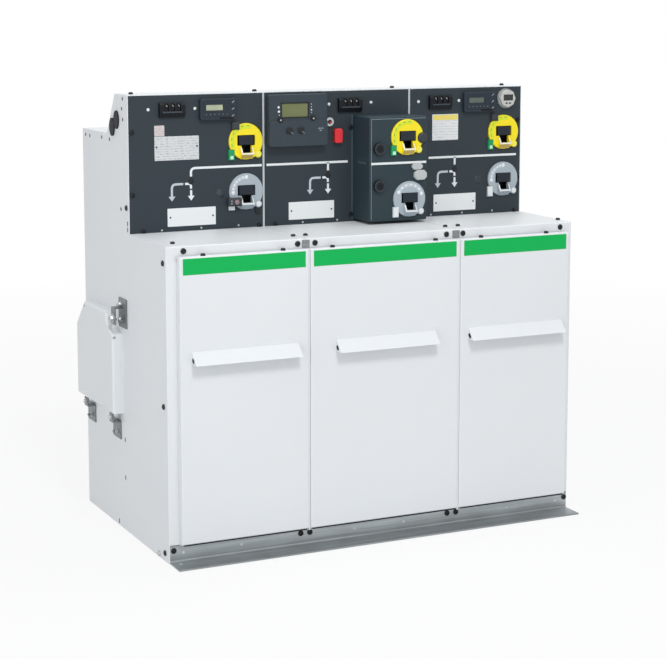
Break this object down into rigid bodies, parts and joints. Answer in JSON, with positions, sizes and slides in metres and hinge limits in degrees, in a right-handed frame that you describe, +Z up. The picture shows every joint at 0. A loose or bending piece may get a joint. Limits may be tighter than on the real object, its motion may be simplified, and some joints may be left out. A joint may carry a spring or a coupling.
{
  "type": "ring main unit",
  "caption": "Indoor medium-voltage ring main unit with switch cubicles, dark control panels, lever dials, relays and lift-off cable panels above open cable compartments.",
  "frame": {"origin": "centre of the bounding box at floor level", "axes": "+X to the right seen from the front, +Y from the front to the rear, +Z up"},
  "size_m": [1.215, 0.72, 1.174],
  "materials": {
    "cabinet_paint": "satin powder coat",
    "panel_paint": "fine textured powder coat",
    "divider_trim": "satin",
    "galvanised_steel": "zinc coated",
    "tank_steel": "dull",
    "switch_yellow": "moulded",
    "earthing_grey": "moulded",
    "black_plastic": "moulded",
    "relay_plastic": "moulded",
    "tab_green": "moulded",
    "tab_white": "moulded",
    "gauge_plastic": "moulded",
    "button_red": "moulded",
    "lock_chrome": "polished"
  },
  "bodies": {
    "cabinet": {"left_side_panel": "cabinet_paint", "right_side_panel": "cabinet_paint", "rear_panel": "cabinet_paint", "rear_top_cover": "cabinet_paint", "control_box_hood": "cabinet_paint", "ledge_plate_left": "cabinet_paint", "ledge_plate_middle": "cabinet_paint", "ledge_plate_right": "cabinet_paint", "cubicle_partitions": "cabinet_paint", "bus_cover": "cabinet_paint", "control_panel_left": "panel_paint", "control_panel_middle": "panel_paint", "control_panel_right": "panel_paint", "mechanism_box": "panel_paint", "panel_dividers": "divider_trim", "front_base_angle": "galvanised_steel", "rear_base_angle": "galvanised_steel", "bus_cover_brackets": "galvanised_steel", "joint_straps": "galvanised_steel", "tank": "tank_steel", "switch_dial_left": "switch_yellow", "switch_dial_middle": "switch_yellow", "switch_dial_right": "switch_yellow", "earthing_dial_left": "earthing_grey", "earthing_dial_middle": "earthing_grey", "earthing_dial_right": "earthing_grey", "lever_sockets_left": "black_plastic", "lever_sockets_middle": "black_plastic", "lever_sockets_right": "black_plastic", "interlock_knobs": "black_plastic", "interlock_caps": "black_plastic", "cable_grommets": "black_plastic", "voltage_indicator_left": "black_plastic", "voltage_indicator_middle": "black_plastic", "voltage_indicator_right": "black_plastic", "fault_relay_left": "relay_plastic", "fault_relay_right": "relay_plastic", "protection_relay": "relay_plastic", "switch_tabs": "tab_green", "earthing_tabs": "tab_white", "key_interlock": "tab_white", "pressure_gauge": "gauge_plastic", "trip_button": "button_red", "key_switch": "lock_chrome"},
    "left_panel": {"access_panel_left": "cabinet_paint", "panel_handle_left": "cabinet_paint"},
    "middle_panel": {"access_panel_middle": "cabinet_paint", "panel_handle_middle": "cabinet_paint"},
    "right_panel": {"access_panel_right": "cabinet_paint", "panel_handle_right": "cabinet_paint"}
  },
  "joints": [
    {"name": "left_panel_lift", "type": "slide", "parent": "cabinet", "child": "left_panel", "axis": [0, 0, 1], "range_m": [0, 0.025]},
    {"name": "middle_panel_lift", "type": "slide", "parent": "cabinet", "child": "middle_panel", "axis": [0, 0, 1], "range_m": [0, 0.025]},
    {"name": "right_panel_lift", "type": "slide", "parent": "cabinet", "child": "right_panel", "axis": [0, 0, 1], "range_m": [0, 0.025]}
  ]
}
